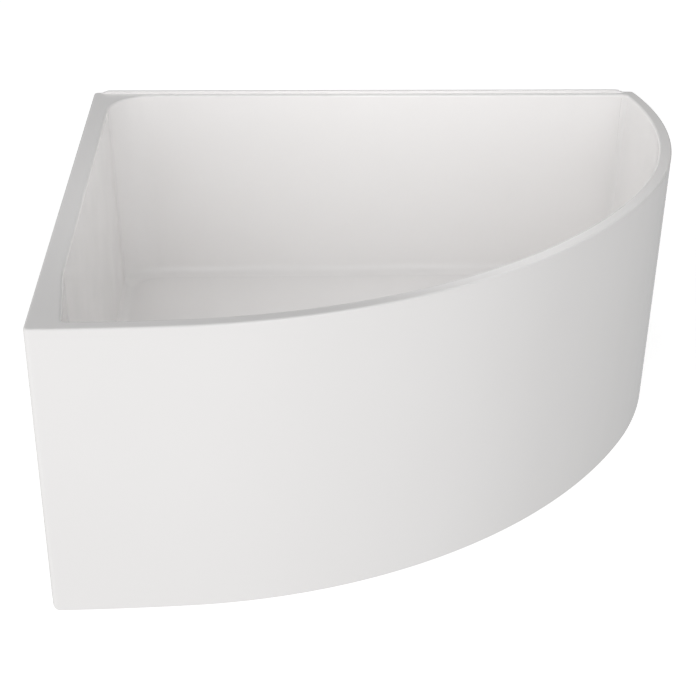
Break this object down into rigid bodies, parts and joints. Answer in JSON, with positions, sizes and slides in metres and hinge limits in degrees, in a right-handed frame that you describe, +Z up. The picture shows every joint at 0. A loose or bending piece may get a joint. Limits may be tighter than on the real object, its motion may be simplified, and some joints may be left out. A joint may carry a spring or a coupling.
{
  "type": "corner bathtub",
  "caption": "Corner bath for a left-hand wall corner: moulded basin with a slim rim, one curved skirt panel, levelling legs on a steel frame, press-to-open waste and overflow.",
  "frame": {"origin": "on the floor under the middle of the bath's bounding box", "axes": "+X along the back wall towards the right-hand end, +Y towards the back wall, +Z up"},
  "size_m": [1.2, 1.065, 0.556],
  "materials": {
    "acrylic": "high gloss white sanitary acrylic",
    "glassfibre": "rough sprayed glassfibre and resin",
    "board": "bare chipboard",
    "frame_steel": "galvanised",
    "plated_steel": "bright zinc plate",
    "pad_plastic": "moulded black nylon",
    "chrome": "polished chrome",
    "pipe_plastic": "moulded white polypropylene",
    "seal_rubber": "black rubber"
  },
  "bodies": {
    "bath": {"basin_shell": "acrylic", "skirt_panel": "acrylic", "glassfibre_backing": "glassfibre", "base_board": "board", "skirt_blocks": "board", "steel_frame": "frame_steel", "skirt_stays": "frame_steel", "frame_screws": "plated_steel", "frame_nuts": "plated_steel", "lock_nuts": "plated_steel", "stay_screws": "plated_steel", "wall_brackets": "plated_steel", "waste_flange": "chrome", "overflow_cover": "chrome", "overflow_screw": "chrome", "waste_body": "pipe_plastic", "press_cartridge": "pipe_plastic", "overflow_elbow": "pipe_plastic", "overflow_pipe": "pipe_plastic", "pipe_nuts": "pipe_plastic", "waste_washer": "seal_rubber", "waste_seal": "seal_rubber", "overflow_seal": "seal_rubber", "pipe_seals": "seal_rubber"},
    "plug": {"waste_plug": "chrome", "plug_seal": "seal_rubber"},
    "foot_1": {"foot_pad_1": "pad_plastic"},
    "stud_1": {"leg_stud_1": "plated_steel"},
    "foot_2": {"foot_pad_2": "pad_plastic"},
    "stud_2": {"leg_stud_2": "plated_steel"},
    "foot_3": {"foot_pad_3": "pad_plastic"},
    "stud_3": {"leg_stud_3": "plated_steel"},
    "foot_4": {"foot_pad_4": "pad_plastic"},
    "stud_4": {"leg_stud_4": "plated_steel"},
    "foot_5": {"foot_pad_5": "pad_plastic"},
    "stud_5": {"leg_stud_5": "plated_steel"}
  },
  "joints": [
    {"name": "plug_slide", "type": "slide", "parent": "bath", "child": "plug", "axis": [0, 0, 1], "range_m": [0, 0.009]},
    {"name": "foot_1_slide", "type": "slide", "parent": "bath", "child": "foot_1", "axis": [0, 0, -1], "range_m": [0, 0.014]},
    {"name": "stud_1_turn", "type": "hinge", "parent": "foot_1", "child": "stud_1", "pos_m": [-0.495, 0.3925, 0], "axis": [0, 0, -1], "range_deg": [0, 2880]},
    {"name": "foot_2_slide", "type": "slide", "parent": "bath", "child": "foot_2", "axis": [0, 0, -1], "range_m": [0, 0.014]},
    {"name": "stud_2_turn", "type": "hinge", "parent": "foot_2", "child": "stud_2", "pos_m": [0.45305, 0.3925, 0], "axis": [0, 0, -1], "range_deg": [0, 2880]},
    {"name": "foot_3_slide", "type": "slide", "parent": "bath", "child": "foot_3", "axis": [0, 0, -1], "range_m": [0, 0.014]},
    {"name": "stud_3_turn", "type": "hinge", "parent": "foot_3", "child": "stud_3", "pos_m": [-0.495, -0.3125, 0], "axis": [0, 0, -1], "range_deg": [0, 2880]},
    {"name": "foot_4_slide", "type": "slide", "parent": "bath", "child": "foot_4", "axis": [0, 0, -1], "range_m": [0, 0.014]},
    {"name": "stud_4_turn", "type": "hinge", "parent": "foot_4", "child": "stud_4", "pos_m": [0.04775, -0.3125, 0], "axis": [0, 0, -1], "range_deg": [0, 2880]},
    {"name": "foot_5_slide", "type": "slide", "parent": "bath", "child": "foot_5", "axis": [0, 0, -1], "range_m": [0, 0.014]},
    {"name": "stud_5_turn", "type": "hinge", "parent": "foot_5", "child": "stud_5", "pos_m": [0.4031, 0.0525, 0], "axis": [0, 0, -1], "range_deg": [0, 2880]}
  ],
  "couplings": [
    {"joint": "stud_1_turn", "follows": "foot_1_slide", "rad_per_m": 3590.4},
    {"joint": "stud_2_turn", "follows": "foot_2_slide", "rad_per_m": 3590.4},
    {"joint": "stud_3_turn", "follows": "foot_3_slide", "rad_per_m": 3590.4},
    {"joint": "stud_4_turn", "follows": "foot_4_slide", "rad_per_m": 3590.4},
    {"joint": "stud_5_turn", "follows": "foot_5_slide", "rad_per_m": 3590.4}
  ]
}
